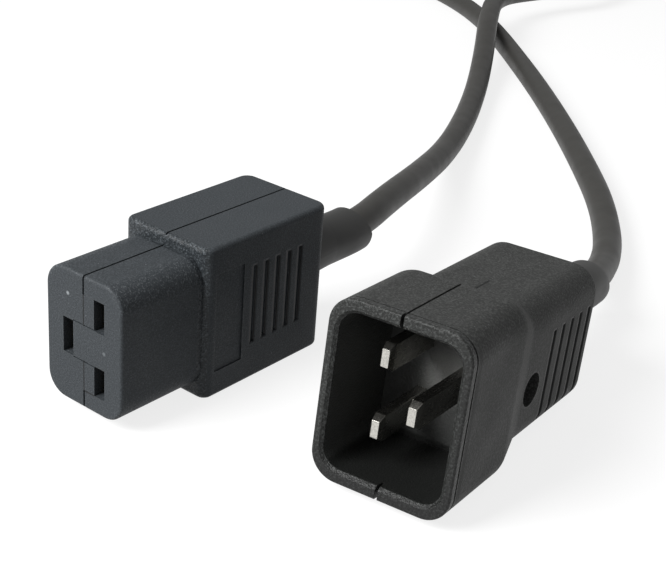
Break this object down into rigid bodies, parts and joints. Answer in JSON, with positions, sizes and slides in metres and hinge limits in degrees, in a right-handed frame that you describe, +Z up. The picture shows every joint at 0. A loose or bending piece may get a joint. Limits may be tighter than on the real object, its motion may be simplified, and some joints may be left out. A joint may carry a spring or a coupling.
{
  "type": "power cord connector",
  "caption": "C19 rack power connector with its cord and the C20 plug on the cord's far end, lying flat with a coil of spare cord behind.",
  "frame": {"origin": "bottom centre of the C19 connector, without the cord and the far plug", "axes": "+Y along the connector from its mating face towards the cord, +X across its short side, towards the line and neutral contacts, +Z up"},
  "size_m": [0.2714, 0.416, 0.035],
  "materials": {
    "moulding": "matte black moulding with a fine spark-eroded texture",
    "strain_relief": "satin black",
    "clamp_plastic": "plain moulded",
    "screw_steel": "zinc plated",
    "contact_brass": "bright strip",
    "pin_nickel": "nickel plated, bright",
    "core_brown": "plain insulation",
    "core_blue": "plain insulation",
    "core_green": "plain insulation",
    "cord_jacket": "satin black jacket"
  },
  "bodies": {
    "root": {"c19_contact_earth": "contact_brass", "c19_contact_line": "contact_brass", "c19_contact_neutral": "contact_brass", "c19_cord_clamp": "clamp_plastic", "c19_cord_sleeve": "strain_relief", "c19_core_earth": "core_green", "c19_core_line": "core_brown", "c19_core_neutral": "core_blue", "c19_jacket_end": "cord_jacket", "c19_relief_end": "strain_relief", "c19_screw": "screw_steel", "c19_shell_left": "moulding", "c19_shell_right": "moulding", "c20_cord_clamp": "clamp_plastic", "c20_cord_sleeve": "strain_relief", "c20_core_earth": "core_green", "c20_core_line": "core_brown", "c20_core_neutral": "core_blue", "c20_jacket_end": "cord_jacket", "c20_pin_earth": "pin_nickel", "c20_pin_line": "pin_nickel", "c20_pin_neutral": "pin_nickel", "c20_relief_end": "strain_relief", "c20_screw": "screw_steel", "c20_shell_left": "moulding", "c20_shell_right": "moulding", "cord_coil": "cord_jacket", "cord_lead_c19": "cord_jacket", "cord_lead_c20": "cord_jacket"}
  },
  "joints": []
}
